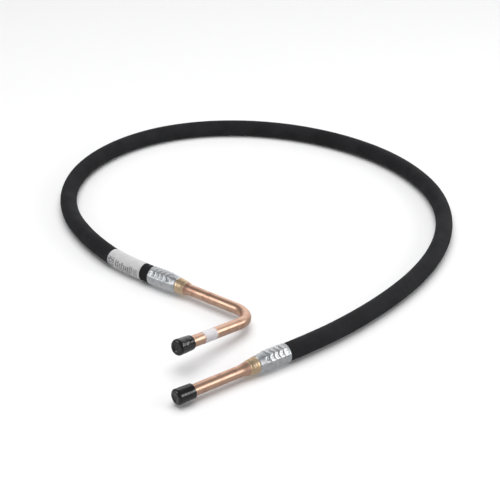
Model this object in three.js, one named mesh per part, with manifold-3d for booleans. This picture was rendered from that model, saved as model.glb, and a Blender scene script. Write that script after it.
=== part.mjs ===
// A refrigerant suction line: a barrier hose with a copper tube crimped into each of its ends.
// One tube is straight, the other has an elbow, and each is closed by a push-on vinyl cap.
// Units are millimetres and +Z is up. The floor that the line lies on is the plane z = 0.
// The origin is on that floor, under the middle of the box around the two end fittings.
import * as THREE from "three";
import { mergeVertices } from "three/addons/utils/BufferGeometryUtils.js";
import Module from "manifold-3d";

// Hose
const HOSE_DIAMETER = 24;
const HOSE_BORE = 13;
const HOSE_SIDES = 12;
const HOSE_STEPS = 76;
const HOSE_IN_FERRULE = 31;
const STRAIGHT_OUT = 10;

// Crimped ferrule
const FERRULE_LENGTH = 46;
const FERRULE_DIAMETER = 26.4;
const FERRULE_MOUTH_EDGE = 0.45;
const FERRULE_TAPER = 18;
const FERRULE_TAPER_DROP = 1.8;
const FERRULE_END_WALL = 14;
const GROOVE_COUNT = 4;
const GROOVE_FIRST = 9.5;
const GROOVE_PITCH = 8.8;
const GROOVE_WIDTH = 4.4;
const GROOVE_DEPTH = 0.45;

// Brass stem: an insert in the hose, a neck in the ferrule's end, a collar and a spigot in the copper tube
const NECK_DIAMETER = 19;
const COLLAR_DIAMETER = 21.6;
const COLLAR_LENGTH = 12;
const COLLAR_TAPER = 1.1;
const COLLAR_CHAMFER = 1;
const INSERT_LENGTH = 28;
const BARB_COUNT = 4;
const BARB_HEIGHT = 0.5;
const STEM_BORE = 10;
const SPIGOT_LENGTH = 26;

// Copper tubes
const TUBE_DIAMETER = 15;
const TUBE_WALL = 1;
const BELL_DIAMETER = 18.2;
const STRAIGHT_BELL_LENGTH = 13;
const BENT_BELL_LENGTH = 8;
const STRAIGHT_TUBE_LENGTH = 105.3;
const BENT_TUBE_RUN = 84.7;
const BENT_TUBE_LEG = 113.7;
const ELBOW_RADIUS = 34.7;
const ELBOW_TURN = THREE.MathUtils.degToRad(92);
const ELBOW_RISE = THREE.MathUtils.degToRad(9);
const ELBOW_STEPS = 12;

// Vinyl caps, wider at the closed end than at the lip
const CAP_LENGTH = 25.5;
const CAP_LIP_WALL = 2.1;
const CAP_SWELL = 0.8;
const CAP_END_WALL = 2.5;
const CAP_SHOULDER_RADIUS = 3;

// Labels
const HOSE_LABEL_LENGTH = 60.5;
const HOSE_LABEL_FROM_FERRULE = 14.5;
const HOSE_LABEL_WALL = 0.35;
const TUBE_LABEL_LENGTH = 26;
const TUBE_LABEL_FROM_ELBOW = 46;
const TUBE_LABEL_WALL = 0.35;

// Clearance between two pieces that touch on the real line
const GAP = 0.3;

// Number of flats around a turned piece
const TURNED_SIDES = 24;

const ferruleRadius = FERRULE_DIAMETER / 2;
const hoseRadius = HOSE_DIAMETER / 2;
const tubeRadius = TUBE_DIAMETER / 2;
const neckRadius = NECK_DIAMETER / 2;
const collarRadius = COLLAR_DIAMETER / 2;
const capLipRadius = tubeRadius + GAP + CAP_LIP_WALL;
const capRadius = capLipRadius + CAP_SWELL;

// Where the hose enters each ferrule, and the heading of the fitting from there, away from the hose.
// Both fittings lie level, each on its ferrule.
const STRAIGHT_END = {
  mouth: new THREE.Vector3(70.82, -127.1, ferruleRadius),
  heading: Math.PI,
};
const BENT_END = {
  mouth: new THREE.Vector3(52.49, 137.22, ferruleRadius),
  heading: THREE.MathUtils.degToRad(-76),
};

// The hose's centreline between the two fittings, from the straight tube's end to the bent tube's.
// Each point is x, y and its share of the rise from the floor to the ferrules' height.
const HOSE_ROUTE = [
  [143.9, -124, 0.6],
  [207.9, -114.9, 0.25],
  [270.9, -100.1, 0.07],
  [332.9, -78.5, 0.02],
  [390.9, -48.5, 0],
  [442.9, -9.5, 0],
  [485.9, 38.5, 0],
  [517.9, 94.5, 0],
  [536.4, 156.5, 0],
  [541.4, 220.5, 0],
  [532.9, 285.5, 0],
  [511.9, 347.5, 0],
  [478.9, 404.5, 0],
  [434.9, 452.5, 0],
  [381.9, 488.5, 0],
  [321.4, 509.5, 0],
  [257.4, 512, 0],
  [194.4, 496, 0],
  [137.9, 463, 0],
  [92.9, 415.5, 0.03],
  [61.9, 358, 0.15],
  [45.4, 295.5, 0.45],
  [39.4, 231.5, 0.8],
  [40.9, 191.5, 1],
];

const wasm = await Module();
wasm.setup();

// Materials

function material(color, roughness, metalness) {
  return new THREE.MeshStandardMaterial({ color, roughness, metalness });
}

const MATERIALS = {
  hose: material(0x2b2b2c, 0.8, 0),
  zinc: material(0xb9bdbf, 0.38, 0.9),
  brass: material(0xc9a063, 0.38, 0.9),
  copper: material(0xc98a72, 0.3, 0.95),
  cap: material(0x121213, 0.25, 0),
  label: material(0xe9e9e7, 0.5, 0),
};

function piece(name, geometry, finish) {
  const mesh = new THREE.Mesh(geometry, finish.clone());
  mesh.name = name;
  return mesh;
}

// Shapes

// A turned piece about the x axis, from points of x and radius that run round its section.
function turned(points) {
  const profile = points.map(([x, radius]) => new THREE.Vector2(radius, x));
  return new THREE.LatheGeometry(profile, TURNED_SIDES).rotateZ(-Math.PI / 2);
}

// Points from one x to another on a smooth step of radius, ends included.
function easedRadius(x0, radius0, x1, radius1, steps) {
  const points = [];
  for (let i = 0; i <= steps; i += 1) {
    const share = i / steps;
    const eased = THREE.MathUtils.smoothstep(share, 0, 1);
    points.push([x0 + share * (x1 - x0), radius0 + eased * (radius1 - radius0)]);
  }
  return points;
}

// A regular polygon of the hose's sides, with one corner straight down.
function ringPoints(radius) {
  const points = [];
  for (let i = 0; i < HOSE_SIDES; i += 1) {
    const angle = (i / HOSE_SIDES) * 2 * Math.PI;
    points.push(new THREE.Vector2(radius * Math.cos(angle), radius * Math.sin(angle)));
  }
  return points;
}

// A pipe of the hose's sides along its whole route.
function sleeveAlong(route, outer, inner) {
  const section = new THREE.Shape(ringPoints(outer));
  section.holes.push(new THREE.Path(ringPoints(inner)));
  return new THREE.ExtrudeGeometry(section, {
    steps: HOSE_STEPS,
    extrudePath: route,
    bevelEnabled: false,
  });
}

// Bends a straight piece that lies along x: after the run it turns right, then goes on straight.
function bent(geometry, run, radius, turn) {
  const position = geometry.getAttribute("position");
  for (let i = 0; i < position.count; i += 1) {
    const past = position.getX(i) - run;
    if (past > 0) {
      const angle = Math.min(past / radius, turn);
      const rest = past - angle * radius;
      const reach = radius + position.getY(i);
      position.setX(i, run + reach * Math.sin(angle) + rest * Math.cos(angle));
      position.setY(i, reach * Math.cos(angle) - rest * Math.sin(angle) - radius);
    }
  }
  geometry.computeVertexNormals();
  return geometry;
}

// Joins and cuts

function toSolid(geometry) {
  const bare = new THREE.BufferGeometry();
  bare.setAttribute("position", geometry.getAttribute("position"));
  bare.setIndex(geometry.getIndex());
  const merged = mergeVertices(bare, 1e-4);
  return new wasm.Manifold(
    new wasm.Mesh({
      numProp: 3,
      vertProperties: new Float32Array(merged.getAttribute("position").array),
      triVerts: new Uint32Array(merged.getIndex().array),
    }),
  );
}

function toGeometry(solid) {
  const mesh = solid.getMesh();
  const geometry = new THREE.BufferGeometry();
  geometry.setAttribute("position", new THREE.BufferAttribute(mesh.vertProperties, 3));
  geometry.setIndex(new THREE.BufferAttribute(mesh.triVerts, 1));
  geometry.computeVertexNormals();
  return geometry;
}

// Hose and its label

function hoseRoute() {
  const rise = ferruleRadius - hoseRadius;
  const points = HOSE_ROUTE.map(([x, y, share]) => new THREE.Vector3(x, y, hoseRadius + share * rise));
  const endPoints = (end) => {
    const out = new THREE.Vector3(Math.cos(end.heading), Math.sin(end.heading), 0);
    const depths = [HOSE_IN_FERRULE, HOSE_IN_FERRULE / 2, 0, -STRAIGHT_OUT];
    return depths.map((depth) => end.mouth.clone().addScaledVector(out, depth));
  };
  return new THREE.CatmullRomCurve3(
    [...endPoints(STRAIGHT_END), ...points, ...endPoints(BENT_END).reverse()],
    false,
    "centripetal",
  );
}

function hose(route) {
  return piece("hose", sleeveAlong(route, hoseRadius, HOSE_BORE / 2), MATERIALS.hose);
}

// The printed wrap around the hose beside the bent tube's ferrule, cut from a sleeve on the same route.
function hoseLabel(route) {
  const inner = hoseRadius + GAP;
  const outer = inner + HOSE_LABEL_WALL;
  const fromEnd = HOSE_IN_FERRULE + HOSE_LABEL_FROM_FERRULE + HOSE_LABEL_LENGTH / 2;
  const share = 1 - fromEnd / route.getLength();
  const along = route.getTangentAt(share);
  const width = 4 * outer;
  const block = new THREE.BoxGeometry(HOSE_LABEL_LENGTH, width, width);
  const turn = new THREE.Quaternion().setFromUnitVectors(new THREE.Vector3(1, 0, 0), along);
  block.applyQuaternion(turn);
  block.translate(...route.getPointAt(share).toArray());
  const label = toSolid(sleeveAlong(route, outer, inner)).intersect(toSolid(block));
  return piece("hose_label", toGeometry(label), MATERIALS.label);
}

// Fittings, each along x from the mouth of its ferrule

// The steel sleeve: a thin edge at the mouth, crimped grooves, and a taper down to the stem's neck.
function ferrule(name) {
  const inner = hoseRadius + GAP;
  const lip = neckRadius + GAP;
  const edge = inner + FERRULE_MOUTH_EDGE;
  const outside = (x) => {
    const share = THREE.MathUtils.smoothstep(x, FERRULE_LENGTH - FERRULE_TAPER, FERRULE_LENGTH);
    return ferruleRadius - share * FERRULE_TAPER_DROP;
  };
  const points = [
    [0, inner],
    [0, edge],
    [FERRULE_MOUTH_EDGE, edge + FERRULE_MOUTH_EDGE / 2],
    [GROOVE_WIDTH, ferruleRadius],
  ];
  for (let i = 0; i < GROOVE_COUNT; i += 1) {
    const middle = GROOVE_FIRST + i * GROOVE_PITCH;
    const cuts = [0, GROOVE_DEPTH, GROOVE_DEPTH, 0];
    cuts.forEach((cut, k) => {
      const x = middle + GROOVE_WIDTH * [-0.5, -0.25, 0.25, 0.5][k];
      points.push([x, outside(x) - cut]);
    });
  }
  points.push([FERRULE_LENGTH, outside(FERRULE_LENGTH)]);
  points.push([FERRULE_LENGTH, lip]);
  points.push([FERRULE_LENGTH - FERRULE_END_WALL, lip]);
  points.push([FERRULE_LENGTH - FERRULE_END_WALL, inner]);
  points.push([0, inner]);
  return piece(name, turned(points), MATERIALS.zinc);
}

// The turned stem: barbed insert, neck through the ferrule's end, collar and spigot, all bored through.
function stem(name) {
  const insertRadius = HOSE_BORE / 2 - GAP - BARB_HEIGHT;
  const spigotRadius = tubeRadius - TUBE_WALL - GAP;
  const bore = STEM_BORE / 2;
  const seat = HOSE_IN_FERRULE + GAP;
  const start = seat - INSERT_LENGTH;
  const collarEnd = FERRULE_LENGTH + COLLAR_LENGTH;
  const pitch = INSERT_LENGTH / (BARB_COUNT + 1);
  const points = [[start, bore]];
  for (let i = 0; i < BARB_COUNT; i += 1) {
    points.push([start + i * pitch, insertRadius]);
    points.push([start + (i + 0.5) * pitch, insertRadius + BARB_HEIGHT]);
    points.push([start + (i + 0.6) * pitch, insertRadius]);
  }
  points.push([seat, insertRadius]);
  points.push([seat, neckRadius]);
  points.push([FERRULE_LENGTH + GAP, neckRadius]);
  points.push([FERRULE_LENGTH + GAP, collarRadius]);
  points.push([collarEnd - COLLAR_CHAMFER, collarRadius - COLLAR_TAPER]);
  points.push([collarEnd, collarRadius - COLLAR_TAPER - COLLAR_CHAMFER / 2]);
  points.push([collarEnd, spigotRadius]);
  points.push([collarEnd + SPIGOT_LENGTH, spigotRadius]);
  points.push([collarEnd + SPIGOT_LENGTH, bore]);
  points.push([start, bore]);
  return piece(name, turned(points), MATERIALS.brass);
}

// A copper tube along x: its belled end is at 0, with extra rings wherever it will be bent.
function tubeSection(length, bell, rings) {
  const bellRadius = BELL_DIAMETER / 2;
  const steps = 4;
  const outer = [...easedRadius(0, bellRadius, bell, tubeRadius, steps), ...rings.map((x) => [x, tubeRadius])];
  outer.push([length, tubeRadius]);
  const inner = outer.map(([x, radius]) => [x, radius - TUBE_WALL]).reverse();
  return turned([...outer, ...inner, outer[0]]);
}

function straightTube() {
  const geometry = tubeSection(STRAIGHT_TUBE_LENGTH, STRAIGHT_BELL_LENGTH, []);
  return piece("straight_tube", geometry, MATERIALS.copper);
}

function bentTube() {
  const arc = ELBOW_RADIUS * ELBOW_TURN;
  const rings = [];
  for (let i = 0; i <= ELBOW_STEPS; i += 1) {
    rings.push(BENT_TUBE_RUN + (i / ELBOW_STEPS) * arc);
  }
  const straight = tubeSection(BENT_TUBE_RUN + arc + BENT_TUBE_LEG, BENT_BELL_LENGTH, rings);
  const geometry = bent(straight, BENT_TUBE_RUN, ELBOW_RADIUS, ELBOW_TURN);
  return piece("bent_tube", geometry, MATERIALS.copper);
}

// The wrap around the bent tube's leg.
function tubeLabel() {
  const inner = tubeRadius + GAP;
  const outer = inner + TUBE_LABEL_WALL;
  const points = [
    [0, inner],
    [0, outer],
    [TUBE_LABEL_LENGTH, outer],
    [TUBE_LABEL_LENGTH, inner],
    [0, inner],
  ];
  return piece("tube_label", turned(points), MATERIALS.label);
}

// A vinyl cap along x, from its open lip to its flat end face, with the tube's end inside it.
function cap(name) {
  const bore = tubeRadius + GAP;
  const points = [
    [CAP_LENGTH - CAP_END_WALL, 0],
    [CAP_LENGTH - CAP_END_WALL, bore],
    [0, bore],
    [0, capLipRadius],
  ];
  const arcSteps = 4;
  for (let i = 0; i <= arcSteps; i += 1) {
    const angle = (i / arcSteps) * (Math.PI / 2);
    const x = CAP_LENGTH - CAP_SHOULDER_RADIUS * (1 - Math.sin(angle));
    points.push([x, capRadius - CAP_SHOULDER_RADIUS * (1 - Math.cos(angle))]);
  }
  points.push([CAP_LENGTH, 0]);
  return piece(name, turned(points), MATERIALS.cap);
}

// Assembly

// The cap's lip sits where its end wall clears the tube's end by the gap.
function capPlace(tubeEnd) {
  return tubeEnd + GAP + CAP_END_WALL - CAP_LENGTH;
}

function endGroup(end, suffix) {
  const group = new THREE.Group();
  group.position.copy(end.mouth);
  group.rotation.z = end.heading;
  group.add(ferrule("ferrule_" + suffix));
  group.add(stem("stem_" + suffix));
  const tube = new THREE.Group();
  tube.position.x = FERRULE_LENGTH + COLLAR_LENGTH + GAP;
  group.add(tube);
  return { group, tube };
}

function straightEnd() {
  const { group, tube } = endGroup(STRAIGHT_END, "straight_end");
  tube.add(straightTube());
  const closing = cap("cap_straight_tube");
  closing.position.x = capPlace(STRAIGHT_TUBE_LENGTH);
  tube.add(closing);
  return group;
}

function bentEnd() {
  const { group, tube } = endGroup(BENT_END, "bent_end");
  tube.rotation.x = -ELBOW_RISE;
  tube.add(bentTube());
  const leg = new THREE.Group();
  leg.position.x = BENT_TUBE_RUN + ELBOW_RADIUS * Math.sin(ELBOW_TURN);
  leg.position.y = -ELBOW_RADIUS * (1 - Math.cos(ELBOW_TURN));
  leg.rotation.z = -ELBOW_TURN;
  const label = tubeLabel();
  label.position.x = TUBE_LABEL_FROM_ELBOW;
  leg.add(label);
  const closing = cap("cap_bent_tube");
  closing.position.x = capPlace(BENT_TUBE_LEG);
  leg.add(closing);
  tube.add(leg);
  return group;
}

const line = new THREE.Group();
line.name = "suction_line";
const route = hoseRoute();
line.add(hose(route));
line.add(hoseLabel(route));
line.add(straightEnd());
line.add(bentEnd());

export default line;
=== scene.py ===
"""Looks of a refrigerant suction line: a barrier hose with crimped ferrules, copper tubes and caps.

Every piece is built in millimetres along the x axis of its own fitting and then placed in the frame.
"""

import logging
import math
from dataclasses import dataclass, field
from enum import Enum
from typing import Callable

import bmesh
import bpy
from mathutils import Matrix, Vector, noise


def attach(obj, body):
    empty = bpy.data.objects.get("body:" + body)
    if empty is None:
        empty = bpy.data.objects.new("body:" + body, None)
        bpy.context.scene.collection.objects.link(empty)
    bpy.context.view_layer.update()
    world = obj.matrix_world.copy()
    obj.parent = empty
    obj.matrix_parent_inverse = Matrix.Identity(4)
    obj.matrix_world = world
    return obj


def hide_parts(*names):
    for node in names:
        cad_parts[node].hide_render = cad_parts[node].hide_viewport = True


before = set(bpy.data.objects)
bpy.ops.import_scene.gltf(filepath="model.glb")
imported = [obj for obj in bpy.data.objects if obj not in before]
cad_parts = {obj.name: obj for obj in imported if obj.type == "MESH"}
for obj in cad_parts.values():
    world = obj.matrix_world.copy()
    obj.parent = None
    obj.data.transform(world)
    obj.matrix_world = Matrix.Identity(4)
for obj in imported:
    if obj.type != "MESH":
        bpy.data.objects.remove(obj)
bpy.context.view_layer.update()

MM = 0.001
TAU = 2 * math.pi
LOG = logging.getLogger("suction_line")

Profile = list[tuple[float, float]]
Relief = Callable[[float, float], float]


class Body(Enum):
    """The bodies that a piece can ride on."""

    LINE = "line"
    BENT_CAP = "bent_tube_cap"
    STRAIGHT_CAP = "straight_tube_cap"


class Slot(Enum):
    """The record's material slots."""

    HOSE = "hose_rubber"
    ZINC = "zinc_plated_steel"
    BRASS = "brass"
    COPPER = "copper"
    VINYL = "cap_vinyl"
    LABEL = "label_film"


class Sock:
    """A node socket that carries a value, so that shader maths reads as Python."""

    def __init__(self, tree: bpy.types.NodeTree, socket: bpy.types.NodeSocket) -> None:
        """Wraps a socket.

        Args:
            tree: The node tree that the socket belongs to.
            socket: The output socket.
        """
        self.tree = tree
        self.socket = socket

    def math(self, operation: str, *values: "Sock | float", flip: bool = False) -> "Sock":
        """Adds a Math node.

        Args:
            operation: The node's operation.
            values: The other inputs, links or numbers.
            flip: Whether this socket is the second input.

        Returns:
            The node's output.
        """
        made = self.tree.nodes.new("ShaderNodeMath")
        made.operation = operation
        inputs = [*values, self] if flip else [self, *values]
        for slot, value in zip(made.inputs, inputs):
            if isinstance(value, Sock):
                self.tree.links.new(value.socket, slot)
            else:
                slot.default_value = value
        return Sock(self.tree, made.outputs[0])

    def __add__(self, other: "Sock | float") -> "Sock":
        """Sum."""
        return self.math("ADD", other)

    __radd__ = __add__

    def __sub__(self, other: "Sock | float") -> "Sock":
        """Difference."""
        return self.math("SUBTRACT", other)

    def __rsub__(self, other: float) -> "Sock":
        """Difference, with this value taken away."""
        return self.math("SUBTRACT", other, flip=True)

    def __mul__(self, other: "Sock | float") -> "Sock":
        """Product."""
        return self.math("MULTIPLY", other)

    __rmul__ = __mul__

    def __truediv__(self, other: "Sock | float") -> "Sock":
        """Quotient."""
        return self.math("DIVIDE", other)

    def __gt__(self, other: "Sock | float") -> "Sock":
        """1 where this value is the greater, else 0."""
        return self.math("GREATER_THAN", other)

    def __lt__(self, other: "Sock | float") -> "Sock":
        """1 where this value is the smaller, else 0."""
        return self.math("LESS_THAN", other)

    def sin(self) -> "Sock":
        """Sine, of radians."""
        return self.math("SINE")

    def floor(self) -> "Sock":
        """The whole number below."""
        return self.math("FLOOR")

    def pingpong(self, scale: float) -> "Sock":
        """A triangle wave between 0 and scale."""
        return self.math("PINGPONG", scale)

    def steps(self, low: float, high: float) -> "Sock":
        """Adds a smooth step.

        Args:
            low: The value up to which the step is 0.
            high: The value from which it is 1.

        Returns:
            The step.
        """
        made = self.tree.nodes.new("ShaderNodeMapRange")
        made.interpolation_type = "SMOOTHSTEP"
        self.tree.links.new(self.socket, made.inputs["Value"])
        made.inputs["From Min"].default_value = low
        made.inputs["From Max"].default_value = high
        return Sock(self.tree, made.outputs["Result"])


class Tree:
    """A node tree with one way to add nodes."""

    def __init__(self, tree: bpy.types.NodeTree) -> None:
        """Wraps a node tree."""
        self.tree = tree

    def node(self, kind: str, settings: dict | None = None, inputs: dict | None = None,
             output: int | str = 0) -> Sock:
        """Adds a node.

        Args:
            kind: The node's type.
            settings: Attributes to set first.
            inputs: Values or links of the node's sockets, by name or number.
            output: The output to use.

        Returns:
            That output.
        """
        made = self.tree.nodes.new(kind)
        for key, value in (settings or {}).items():
            setattr(made, key, value)
        for key, value in (inputs or {}).items():
            self.feed(made.inputs[key], value)
        return Sock(self.tree, made.outputs[output])

    def feed(self, socket: bpy.types.NodeSocket, value: object) -> None:
        """Links a socket or sets its number or colour.

        Args:
            socket: The input socket.
            value: A link, a number, a vector or a colour.
        """
        if isinstance(value, Sock):
            self.tree.links.new(value.socket, socket)
        elif isinstance(value, tuple) and len(value) == 3 and socket.type == "RGBA":
            socket.default_value = (*value, 1)
        else:
            socket.default_value = value

    def object_point(self) -> Sock:
        """The shaded point in the piece's own metres."""
        return self.node("ShaderNodeTexCoord", output="Object")

    def scaled(self, vector: Sock, scale: tuple[float, float, float]) -> Sock:
        """A vector multiplied part by part."""
        return self.node("ShaderNodeVectorMath", {"operation": "MULTIPLY"}, {0: vector, 1: scale})

    def parts(self, vector: Sock) -> tuple[Sock, Sock, Sock]:
        """Splits a vector.

        Args:
            vector: The vector.

        Returns:
            Its three parts.
        """
        first = self.node("ShaderNodeSeparateXYZ", inputs={0: vector})
        outputs = first.socket.node.outputs
        return first, Sock(self.tree, outputs[1]), Sock(self.tree, outputs[2])

    def noise(self, vector: Sock, scale: float, detail: float = 3.0, rough: float = 0.5) -> Sock:
        """Adds a Noise texture.

        Args:
            vector: Where it is read.
            scale: How fine it is, per metre of the vector.
            detail: How many finer layers it has.
            rough: How strong they are.

        Returns:
            A value from 0 to 1.
        """
        inputs = {"Vector": vector, "Scale": scale, "Detail": detail, "Roughness": rough}
        return self.node("ShaderNodeTexNoise", inputs=inputs)

    def mix(self, factor: Sock | float, first: object, second: object) -> Sock:
        """Mixes two colours.

        Args:
            factor: How much of the second colour shows.
            first: The first colour.
            second: The second colour.

        Returns:
            The mix.
        """
        made = self.node("ShaderNodeMix", {"data_type": "RGBA"}, {0: factor}, output=2)
        inputs = made.socket.node.inputs
        self.feed(inputs[6], first)
        self.feed(inputs[7], second)
        return made

    def bump(self, height: Sock, distance: float, strength: float = 1.0) -> Sock:
        """Adds a Bump node.

        Args:
            height: A height from 0 to 1.
            distance: What a height of 1 stands for, in metres.
            strength: How much of the bump shows.

        Returns:
            The normal.
        """
        inputs = {"Height": height, "Distance": distance, "Strength": strength}
        return self.node("ShaderNodeBump", inputs=inputs)


class Paint(Tree):
    """A procedural material around one Principled shader."""

    def __init__(self, name: str) -> None:
        """Makes an empty material.

        Args:
            name: The material's name.
        """
        self.material = bpy.data.materials.new(name)
        self.material.use_nodes = True
        super().__init__(self.material.node_tree)
        self.tree.nodes.clear()
        self.shader = self.tree.nodes.new("ShaderNodeBsdfPrincipled")
        output = self.tree.nodes.new("ShaderNodeOutputMaterial")
        self.tree.links.new(self.shader.outputs[0], output.inputs["Surface"])

    def set(self, **sockets: object) -> None:
        """Feeds the Principled shader.

        Args:
            sockets: Values by socket; an underscore stands for a space in a socket's name.
        """
        for name, value in sockets.items():
            self.feed(self.shader.inputs[name.replace("_", " ")], value)

    def surface_place(self) -> tuple[Sock, Sock]:
        """Reads the piece's uv map.

        Returns:
            Metres along the piece and turns around it.
        """
        uv = self.node("ShaderNodeUVMap", {"uv_map": "wrap"})
        along, around, _ = self.parts(uv)
        return along, around


@dataclass(frozen=True)
class HoseRubber:
    """Matt black hose cover with the print of the cloth that it was cured in."""

    color: tuple[float, float, float] = (0.011, 0.011, 0.012)
    dust: tuple[float, float, float] = (0.021, 0.021, 0.023)
    thread_pitch: float = 1.15 * MM
    threads_around: int = 64
    wrap_pitch: float = 46 * MM

    def paint(self) -> bpy.types.Material:
        """Builds the material.

        Returns:
            The material.
        """
        p = Paint("hose_rubber")
        along, around = p.surface_place()
        point = p.object_point()
        down = along * (TAU / self.thread_pitch)
        round_it = around * (TAU * self.threads_around)
        warp = (down + round_it).sin()
        weft = (down - round_it).sin()
        weave = warp * weft * 0.5 + 0.5
        wear = p.noise(point, 90, 4)
        print_depth = wear.steps(0.3, 0.62) * 0.7 + 0.3
        turn = (along / self.wrap_pitch + around).pingpong(0.5)
        tape_edge = 1 - turn.steps(0.0, 0.012)
        pores = 1 - p.node(
            "ShaderNodeTexVoronoi", inputs={"Vector": point, "Scale": 420.0}
        ).steps(0.05, 0.16)
        cloud = p.noise(point, 26, 3)
        dusty = (cloud.steps(0.4, 0.75) * 0.6 + weave * print_depth * 0.5)
        p.set(
            Base_Color=p.mix(dusty, self.color, self.dust),
            Roughness=0.86 - cloud * 0.16,
            Specular_IOR_Level=0.25,
            Normal=p.bump(
                weave * print_depth * 0.55 + tape_edge * 0.5 - pores * 0.5, 0.12 * MM, 0.9
            ),
        )
        return p.material


@dataclass(frozen=True)
class ZincPlate:
    """Zinc plating over a crimped steel sleeve: bright, clouded and lightly scuffed."""

    color: tuple[float, float, float] = (0.88, 0.90, 0.91)
    cloudy: tuple[float, float, float] = (0.66, 0.68, 0.69)
    blue: tuple[float, float, float] = (0.58, 0.66, 0.72)

    def paint(self) -> bpy.types.Material:
        """Builds the material.

        Returns:
            The material.
        """
        p = Paint("zinc_plated_steel")
        point = p.object_point()
        cloud = p.noise(point, 190, 4, 0.6)
        tint = p.noise(point, 60, 2)
        scuff = p.noise(p.scaled(point, (300, 2600, 2600)), 1, 2)
        grain = p.noise(point, 2400, 2)
        base = p.mix(cloud.steps(0.35, 0.75), self.color, self.cloudy)
        p.set(
            Base_Color=p.mix(tint.steps(0.5, 0.8) * 0.5, base, self.blue),
            Metallic=1.0,
            Roughness=0.36 + cloud * 0.14 + scuff.steps(0.55, 0.8) * 0.06,
            Normal=p.bump(grain * 0.5 + scuff * 0.5, 0.012 * MM, 0.5),
        )
        return p.material


@dataclass(frozen=True)
class TurnedBrass:
    """Turned brass with faint tool rings and random patches of duller colour."""

    color: tuple[float, float, float] = (0.97, 0.77, 0.52)
    dull: tuple[float, float, float] = (0.84, 0.60, 0.38)

    def paint(self) -> bpy.types.Material:
        """Builds the material.

        Returns:
            The material.
        """
        p = Paint("turned_brass")
        point = p.object_point()
        rings = p.noise(p.scaled(point, (5200, 30, 30)), 1, 2)
        cloud = p.noise(point, 170, 4, 0.6)
        p.set(
            Base_Color=p.mix(cloud.steps(0.4, 0.75), self.color, self.dull),
            Metallic=1.0,
            Roughness=0.36 + cloud * 0.16,
            Normal=p.bump(rings, 0.012 * MM, 0.8),
        )
        return p.material


@dataclass(frozen=True)
class DrawnCopper:
    """Drawn copper tube: fine lengthwise draw lines, tarnish and heat colours beside the braze."""

    color: tuple[float, float, float] = (0.93, 0.60, 0.44)
    tarnish: tuple[float, float, float] = (0.62, 0.36, 0.26)
    golden: tuple[float, float, float] = (0.90, 0.60, 0.34)
    plum: tuple[float, float, float] = (0.55, 0.29, 0.25)
    lower_side_tone: tuple[float, float, float] = (0.50, 0.38, 0.31)
    heat_reach: float = 34 * MM

    def paint(self) -> bpy.types.Material:
        """Builds the material.

        Returns:
            The material.
        """
        p = Paint("drawn_copper")
        along, around = p.surface_place()
        point = p.object_point()
        circle = p.node(
            "ShaderNodeCombineXYZ",
            inputs={
                "X": along * 30,
                "Y": (around * TAU).sin() * 9,
                "Z": (around * TAU + TAU / 4).sin() * 9,
            },
        )
        lines = p.noise(circle, 6, 3, 0.7)
        fine = p.noise(p.scaled(circle, (0.6, 4, 4)), 10, 2)
        blot = p.noise(point, 75, 5, 0.62)
        spots = p.noise(point, 330, 3, 0.6)
        heat = 1 - (along + (blot - 0.5) * (14 * MM)).steps(4 * MM, self.heat_reach)
        base = p.mix(blot.steps(0.48, 0.72) * 0.65, self.color, self.tarnish)
        base = p.mix(lines.steps(0.5, 0.78) * 0.35, base, self.golden)
        base = p.mix(spots.steps(0.62, 0.74) * 0.4, base, self.tarnish)
        # Grey-brown mottling mixed in on the lower half of the tube only, below its axis: darker
        # towards the bottom.
        under = 1 - p.parts(point)[2].steps(-4.5 * MM, 0.5 * MM)
        lower_mottle = p.noise(circle, 16, 4, 0.6).steps(0.44, 0.62) * under
        base = p.mix(lower_mottle * 0.55, base, self.lower_side_tone)
        p.set(
            Base_Color=p.mix(heat * blot.steps(0.40, 0.62) * 0.34, base, self.plum),
            Metallic=1.0,
            Roughness=0.24 + blot * 0.16 + lines * 0.06 + heat * 0.08,
            Normal=p.bump(lines * 0.6 + fine * 0.4, 0.010 * MM, 0.6),
        )
        return p.material


@dataclass(frozen=True)
class DippedVinyl:
    """Glossy black dipped vinyl whose skin is faintly crinkled."""

    color: tuple[float, float, float] = (0.004, 0.004, 0.0045)
    bloom: tuple[float, float, float] = (0.009, 0.009, 0.010)

    def paint(self) -> bpy.types.Material:
        """Builds the material.

        Returns:
            The material.
        """
        p = Paint("dipped_vinyl")
        point = p.object_point()
        cloud = p.noise(point, 120, 4)
        crinkle = p.noise(point, 210, 3, 0.55)
        fine = p.noise(point, 1500, 2)
        p.set(
            Base_Color=p.mix(cloud.steps(0.4, 0.8), self.color, self.bloom),
            Roughness=0.06 + cloud * 0.08,
            Coat_Weight=0.6,
            Coat_Roughness=0.06,
            Normal=p.bump(crinkle * 0.85 + fine * 0.03, 0.3 * MM, 0.4),
        )
        return p.material


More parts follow.
